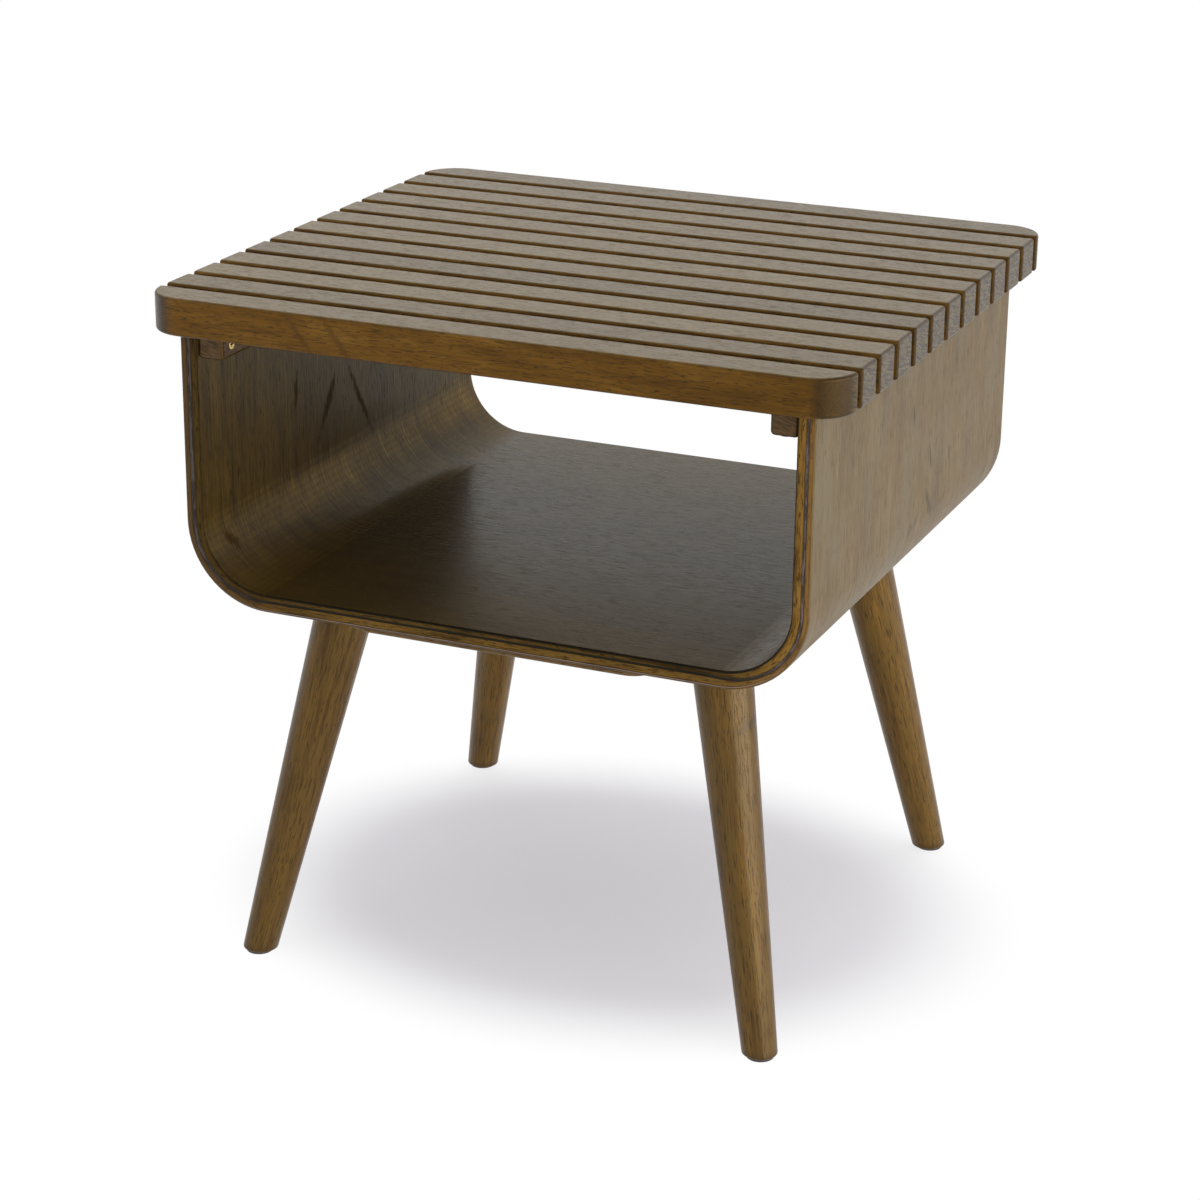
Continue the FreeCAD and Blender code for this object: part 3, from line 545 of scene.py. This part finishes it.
def shell_place(finish):
    """A point of the bent shelf: along its profile, along Y, and its depth from the outer face."""
    x, y, z = finish.place()
    bend_x = SHELL_HALF_WIDTH - SHELL_BEND
    bend_z = SHELL_UNDERSIDE + SHELL_BEND
    aside = (abs(x) - bend_x).at_least(0)
    below = (bend_z - z).at_least(0)
    above = (z - bend_z).at_least(0)
    depth = SHELL_BEND - finish.math("SQRT", aside * aside + below * below)
    round_bend = finish.math("ARCTAN2", aside, below) * SHELL_BEND
    along = finish.math("SIGN", x) * (abs(x).at_most(bend_x) + round_bend + above)
    return x, y, z, along, depth


class TABLE_OT_shelf(bpy.types.Operator):
    """Finish the bent shelf: face veneers that follow the bends, plies in the open edges"""

    bl_idname = "table.shelf"
    bl_label = "Finish the bent shelf"

    def execute(self, context):
        woods = context.scene.table_woods
        finish = new_finish("bent_plywood_stained")
        x, y, z, along, depth = shell_place(finish)
        side = depth.rise(5, 7)
        grain = wood_grain(finish, along + side * 3000, y + side * 300, y * 0, 2)
        outer, relief = stained(
            finish, grain, woods.veneer_dark, woods.veneer_middle, woods.veneer_light,
            woods.pore, 0.4)
        inner, _ = stained(
            finish, grain, woods.inner_dark, woods.inner_middle, woods.inner_light, woods.pore)
        clouds = finish.noise(finish.vector(along / 90, y / 55, side * 7), 2)
        outer = finish.mix(clouds.rise(0.45, 0.7) * 0.5, outer, woods.veneer_grey)
        outer_marks = finish.marks(y, z, OUTER_WALL_MARKS) * x.rise(200, 215)
        outer = finish.mix(outer_marks * 0.8, outer, woods.pore)
        # The shelf's upper face, and painted light: the veneer is painted lighter at the rear and
        # in the left bend
        upward = finish.facing()[2]
        level = upward.rise(0.3, 0.9)
        rearward = level * y.rise(-320, 60)
        inner = finish.brighten(inner, (grain.streaks - 0.5) * 1.1 + 1)
        shelf_floor = finish.brighten(
            woods.inner_floor, (grain.cloud + grain.streaks - 1) * 0.7 + 1)
        inner = finish.mix(upward.rise(0.7, 1) * 0.85, inner, shelf_floor)
        on_bend = upward.rise(0.1, 0.25) * upward.rise(0.75, 0.5) * x.rise(-150, -170)
        upright = (1 - level) * y.rise(20, 200)
        painted_light = level * y.rise(-270, 200) * 0.3 + 1 + upright * 0.3
        inner = finish.brighten(inner, painted_light + on_bend * y.rise(-160, -40) * 0.8)
        # A painted reflection of the dark left wall darkens the left front of the shelf's floor
        wall_reflection = (y + (1 - upward) * 600).rise(130, 50) * (x + y * 0.35).rise(-90, -135)
        inner = finish.mix(wall_reflection * 0.35, inner, woods.floor_reflection_dark)
        inner_marks = finish.marks(y, z, INNER_WALL_MARKS) * x.rise(-150, -180)
        inner = finish.mix(inner_marks * 0.7, inner, woods.pore)
        # One shader for the outer face, one for the inner face and the open edges
        outer_roughness = grain.streaks * 0.1 + 0.4 + grain.pores * 0.1
        outer_shader = finish.shader(outer, outer_roughness, relief, WOOD_RELIEF, OUTER_LACQUER)
        plies, ply_relief, in_edge = self.open_edge(finish, woods, x, y, along, depth)
        inner = finish.mix(in_edge, inner, plies)
        height = relief + (ply_relief - relief) * in_edge
        inner_roughness = grain.streaks * 0.1 + 0.34 - rearward * 0.16 + grain.pores * 0.15
        inner_shader = finish.shader(
            inner, inner_roughness + inner_marks * 0.35, height, WOOD_RELIEF, INNER_LACQUER)
        dress(["bent_shell"], finish.close(finish.node(
            "ShaderNodeMixShader", None,
            {0: side.at_least(in_edge), 1: outer_shader, 2: inner_shader})))
        return {"FINISHED"}

    def open_edge(self, finish, woods, x, y, along, depth):
        """Plies in the shelf's open edges: their colour, their relief and where they show."""
        wander = finish.noise(finish.vector(along / 60, y / 60, depth / 60), 2) - 0.5
        grain = wood_grain(finish, along, depth + wander * 0.8, y * 0.2)
        colour, relief = stained(
            finish, grain, woods.slat_dark, woods.ply_gold, woods.slat_light, woods.pore)
        # The middle line of the open edges lies deepest under the shelf, less deep in the left
        # wall, least in the right; under the shelf it is a dark ply, in the walls a mottled painted
        # glint
        to_right = x.rise(150, 228)
        to_left = x.rise(-150, -228)
        core_middle = 8.4 - to_right * 3.7 - to_left * 1.6
        from_core = (depth - core_middle + wander * 0.5) / (to_left * 0.5 + 1)
        inward = from_core.rise(0, 1)
        colour = finish.brighten(colour, 1 - inward * (0.4 + to_left * 0.2 - to_right * 0.4))
        colour = finish.mix(to_right * (1 - inward) * 0.45, colour, woods.ply_red)
        colour = finish.mix(to_left * (1 - inward) * 0.7, colour, woods.ply_red)
        glinting = finish.noise(finish.vector(along / 11, depth / 1.3, y / 11), 3, 0.6).rise(0.42, 0.58)
        core_and_glint = finish.mix(
            to_left.at_least(to_right) * (glinting * 0.75 + 0.25), woods.ply_grey, woods.ply_glint)
        colour = finish.mix(from_core.band(0, 0.8, 0.25) * 0.95, colour, core_and_glint)
        beside_core = from_core.band(1.1, 0.15, 0.3).at_least(from_core.band(-1.1, 0.15, 0.3))
        colour = finish.mix(beside_core * to_left.at_least(to_right) * 0.7, colour, woods.pore)
        below = (1 - to_right) * (1 - to_left)
        # A painted glint: a thin pale line under the shelf
        pale = finish.brighten(woods.ply_glint, 2.6)
        wavy = depth + wander
        colour = finish.mix(wavy.band(2.1, 0.2, 0.2) * below * 0.85, colour, pale)
        colour = finish.mix(wavy.band(2.8, 0.15, 0.25) * below * 0.8, colour, woods.pore)
        colour = finish.mix(depth.rise(2, 1.2) * 0.6, colour, woods.slat_dark)
        # Painted shade along the inner rim of the open edges
        inner_rim_shade = depth.rise(SHELL_WALL - 1.4, SHELL_WALL - 1) * (0.92 - to_left * 0.6)
        colour = finish.mix(inner_rim_shade, colour, woods.ply_grey)
        # Painted light: the right wall's open edges lighter, the others darker
        colour = finish.brighten(colour, to_right * 0.5 + 0.8)
        shows = depth.rise(0.35, 0.9) * depth.rise(SHELL_WALL + 0.1, SHELL_WALL - 0.15)
        return colour, relief - from_core.band(0, 0.8, 0.3) * 3, shows


class TABLE_OT_cleats(bpy.types.Operator):
    """Finish the two cleats: dark stained battens with grain along Y"""

    bl_idname = "table.cleats"
    bl_label = "Finish the cleats"

    def execute(self, context):
        woods = context.scene.table_woods
        finish = new_finish("cleat_wood_stained")
        x, y, z = finish.place()
        grain = wood_grain(finish, y + 700, x, z)
        colour, relief = stained(
            finish, grain, woods.pore, woods.slat_dark, woods.slat_middle, woods.pore)
        end = abs(finish.facing()[1]).rise(0.5, 0.9)
        growth = finish.noise(finish.vector(z / 1.2 + x / 5, 0, x / 9), 2)
        end_colour = finish.brighten(woods.cleat_end, growth.rise(0.35, 0.65) * 0.9 + 0.4)
        # Painted shade: the ends darker along both sides and the bottom
        from_edge = (abs(x) - CLEAT_LOW.x).at_most(CLEAT_HIGH.x - abs(x)).at_most(z - CLEAT_LOW.z)
        end_colour = finish.mix(from_edge.rise(2.2, 0.5) * 0.8, end_colour, woods.pore)
        colour = finish.mix(end * 0.9, colour, end_colour)
        roughness = grain.streaks * 0.2 + 0.3
        dress(["cleat_left", "cleat_right"],
              finish.surface(colour, roughness, relief, WOOD_RELIEF, UNDERSIDE_LACQUER))
        return {"FINISHED"}


class TABLE_OT_panel(bpy.types.Operator):
    """Finish the stiffening panel under the shelf: thin plywood with grain along X"""

    bl_idname = "table.panel"
    bl_label = "Finish the panel under the shelf"

    def execute(self, context):
        woods = context.scene.table_woods
        finish = new_finish("panel_plywood_stained")
        x, y, z = finish.place()
        low, high = (corner[2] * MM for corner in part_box("under_panel"))
        grain = wood_grain(finish, x + 1500, y, z)
        colour, relief = stained(
            finish, grain, woods.veneer_dark, woods.veneer_middle, woods.veneer_light, woods.pore)
        level = abs(finish.facing()[2])
        ply_line = (z - (low + high) / 2).band(0, 0.7, 0.5) * level.rise(0.7, 0.3)
        colour = finish.mix(ply_line * 0.5, colour, woods.slat_dark)
        roughness = grain.streaks * 0.14 + 0.28
        dress(["under_panel"],
              finish.surface(colour, roughness, relief, WOOD_RELIEF, UNDERSIDE_LACQUER))
        return {"FINISHED"}


class TABLE_OT_legs(bpy.types.Operator):
    """Finish the four turned legs: stained solid wood with grain along each leg"""

    bl_idname = "table.legs"
    bl_label = "Finish the legs"

    def execute(self, context):
        woods = context.scene.table_woods
        finish = new_finish("leg_wood_stained")
        x, y, z = finish.place()
        axis = (LEG_TOP - FOOT).normalized()
        flat = axis.cross(Vector((0, 0, 1))).normalized()
        third = axis.cross(flat)
        local = (abs(x) - FOOT.x, abs(y) - FOOT.y, z)
        leg = finish.math("SIGN", x) + finish.math("SIGN", y) * 2

        def part_along(direction):
            return local[0] * direction.x + local[1] * direction.y + local[2] * direction.z

        along, across, depth = (
            part_along(direction) + leg * shift
            for direction, shift in zip((axis, flat, third), LEG_SHIFTS))
        grain = wood_grain(finish, along, across, depth, 1.8)
        colour, relief = stained(
            finish, grain, woods.slat_dark, woods.leg_middle, woods.slat_light, woods.pore)
        # The rear legs are painted lighter, a painted light, and every foot darker at the floor, a
        # painted shade
        colour = finish.brighten(colour, y.rise(0, 1) * 0.22 + 1)
        foot = z.rise(9, 3)
        colour = finish.mix(foot * 0.5, colour, woods.edge)
        front_right = x.rise(0, 1) * y.rise(0, -1)
        colour = finish.mix(
            finish.marks(x, z, LEG_MARKS) * front_right * 0.7, colour, woods.edge)
        roughness = grain.streaks * 0.14 + 0.25
        legs = [f"leg_{end}_{side}" for end in ("front", "rear") for side in ("left", "right")]
        dress(legs, finish.surface(colour, roughness, relief, WOOD_RELIEF, LEG_LACQUER))
        return {"FINISHED"}


class TABLE_OT_glides(bpy.types.Operator):
    """Finish the four glides: dark moulded plastic with fine scuffs"""

    bl_idname = "table.glides"
    bl_label = "Finish the glides"

    def execute(self, context):
        fittings = context.scene.table_fittings
        finish = new_finish("glide_plastic_dark")
        x, y, z = finish.place()
        scuffs = finish.noise(finish.vector(x / 1.2, y / 1.2, z / 1.2), 4, 0.6)
        colour = finish.mix(scuffs, fittings.glide_dark, fittings.glide_scuffed)
        dress([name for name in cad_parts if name.startswith("glide_")],
              finish.surface(colour, scuffs * 0.25 + 0.4, scuffs, PLASTIC_RELIEF))
        return {"FINISHED"}


class TABLE_OT_hardware(bpy.types.Operator):
    """Finish the screws, bolts and inserts: brushed steel, and brass in the cleats"""

    bl_idname = "table.hardware"
    bl_label = "Finish the hardware"

    def execute(self, context):
        fittings = context.scene.table_fittings
        metals = (
            ("steel_zinc_plated", fittings.steel_dull, fittings.steel_bright,
             ("leg_inserts", "hanger_bolts", "slat_screws", "under_panel_screws")),
            ("brass_plated", fittings.brass_dull, fittings.brass_bright, ("cleat_screws",)),
        )
        for name, dull, bright, pieces in metals:
            finish = new_finish(name)
            x, y, z = finish.place()
            marks = finish.noise(finish.vector(x / 0.9, y / 0.9, z / 0.25), 3, 0.6)
            colour = finish.mix(marks, dull, bright)
            if name == "brass_plated":
                # Painted shade in the recess of each head
                recess = (abs(x) - CLEAT_LOW.x).rise(0.05, 0.5)
                colour = finish.mix(recess * 0.9, colour, fittings.brass_recess_shade)
            dress(pieces, finish.surface(
                colour, marks * 0.22 + 0.2, marks, METAL_RELIEF, {"Metallic": 1}))
        return {"FINISHED"}


class TABLE_OT_stage(bpy.types.Operator):
    """Set the stage: pale floor, white surroundings, a wide lamp at the right and the camera"""

    bl_idname = "table.stage"
    bl_label = "Set the stage"

    def execute(self, context):
        stage = context.scene.table_stage
        self.add_floor(context, stage)
        self.add_world(context, stage)
        self.add_lamp(context, stage)
        self.add_camera(context, stage)
        context.scene.view_settings.view_transform = "Standard"
        return {"FINISHED"}

    def add_floor(self, context, stage):
        """A level floor that keeps the table's shadow and runs out to white round it."""
        bpy.ops.mesh.primitive_plane_add(size=FLOOR_SIZE)
        floor = context.active_object
        floor.name = "floor"
        finish = new_finish("floor_pale")
        x, y = finish.place()[:2]
        speckle = finish.noise(finish.vector(x / 40, y / 40, 0), 3)
        colour = finish.brighten(stage.floor_colour, speckle * 0.01 + 0.995)
        pale = finish.shader(colour, 0.9, speckle, FLOOR_RELIEF, {"Specular IOR Level": 0})
        white = finish.node("ShaderNodeEmission", None, {"Color": (1, 1, 1, 1), "Strength": 1})
        aside = x * SHADOW_ASIDE
        ahead = (y - SHADOW_MIDDLE) * SHADOW_AHEAD
        away = finish.math("SQRT", aside * aside + ahead * ahead).rise(
            stage.shadow_inner * MM, stage.shadow_outer * MM)
        floor.data.materials.append(finish.close(finish.node(
            "ShaderNodeMixShader", None, {0: finish.seen() * away, 1: pale, 2: white})))

    def add_world(self, context, stage):
        """White to the camera and in reflections, and soft light that is weaker from the left."""
        world = bpy.data.worlds.new("studio")
        context.scene.world = world
        finish = Finish(world)
        leftward = 0 - finish.split(finish.node("ShaderNodeTexCoord", output="Generated"))[0]
        room = stage.ambient * (1 - leftward.rise(0.1, 0.9) * stage.left_shade)
        strength = room + finish.seen() * (1 - room)
        background = finish.node(
            "ShaderNodeBackground", None, {"Color": (1, 1, 1, 1), "Strength": strength})
        finish.node("ShaderNodeOutputWorld", None, {"Surface": background})

    def add_lamp(self, context, stage):
        """The wide lamp at the right, turned to its target."""
        lamp = bpy.data.lights.new("light_right", "AREA")
        lamp.shape = "RECTANGLE"
        lamp.energy = stage.lamp_power
        lamp.size = stage.lamp_width
        lamp.size_y = stage.lamp_height
        light = bpy.data.objects.new("light_right", lamp)
        light.location = stage.lamp_place
        ahead = Vector(stage.lamp_target) - Vector(stage.lamp_place)
        light.rotation_euler = ahead.to_track_quat("-Z", "Y").to_euler()
        light.visible_camera = False
        context.scene.collection.objects.link(light)

    def add_camera(self, context, stage):
        """The camera at the photograph's place, its three angles turned into its axes."""
        level = math.cos(stage.camera_pitch)
        ahead = Vector((-math.sin(stage.camera_yaw) * level, math.cos(stage.camera_yaw) * level,
                        math.sin(stage.camera_pitch)))
        aside = ahead.cross(Vector((0, 0, 1))).normalized()
        upright = aside.cross(ahead)
        turn = Matrix.Rotation(-stage.camera_roll, 3, ahead)
        axes = Matrix((turn @ aside, turn @ upright, -ahead)).transposed().to_4x4()
        data = bpy.data.cameras.new("camera")
        data.sensor_width = SENSOR_WIDTH
        data.lens = stage.lens
        camera = bpy.data.objects.new("camera", data)
        camera.matrix_world = Matrix.Translation(stage.camera_place) @ axes
        context.scene.collection.objects.link(camera)
        context.scene.camera = camera


class TABLE_PT_panel(bpy.types.Panel):
    """Sidebar panel with the table's steps in order"""

    bl_idname = "TABLE_PT_panel"
    bl_label = "Slatted side table"
    bl_space_type = "VIEW_3D"
    bl_region_type = "UI"
    bl_category = "Table"

    def draw(self, context):
        layout = self.layout
        for operator in OPERATORS:
            layout.operator(operator.bl_idname)
        scene = context.scene
        for group in (scene.table_woods, scene.table_fittings, scene.table_stage):
            for name in group.__annotations__:
                layout.prop(group, name)


OPERATORS = (
    TABLE_OT_slats, TABLE_OT_shelf, TABLE_OT_cleats, TABLE_OT_panel, TABLE_OT_legs,
    TABLE_OT_glides, TABLE_OT_hardware, TABLE_OT_stage,
)
CLASSES = (TableWoods, TableFittings, TableStage, *OPERATORS, TABLE_PT_panel)


def register():
    """Make the property groups, the operators and the panel known."""
    for each in CLASSES:
        bpy.utils.register_class(each)
    bpy.types.Scene.table_woods = bpy.props.PointerProperty(type=TableWoods)
    bpy.types.Scene.table_fittings = bpy.props.PointerProperty(type=TableFittings)
    bpy.types.Scene.table_stage = bpy.props.PointerProperty(type=TableStage)


def unregister():
    """Take them away again."""
    del bpy.types.Scene.table_stage
    del bpy.types.Scene.table_fittings
    del bpy.types.Scene.table_woods
    for each in reversed(CLASSES):
        bpy.utils.unregister_class(each)


def main():
    """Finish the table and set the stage."""
    register()
    bpy.ops.table.slats()
    bpy.ops.table.shelf()
    bpy.ops.table.cleats()
    bpy.ops.table.panel()
    bpy.ops.table.legs()
    bpy.ops.table.glides()
    bpy.ops.table.hardware()
    bpy.ops.table.stage()


if __name__ == "__main__":
    main()
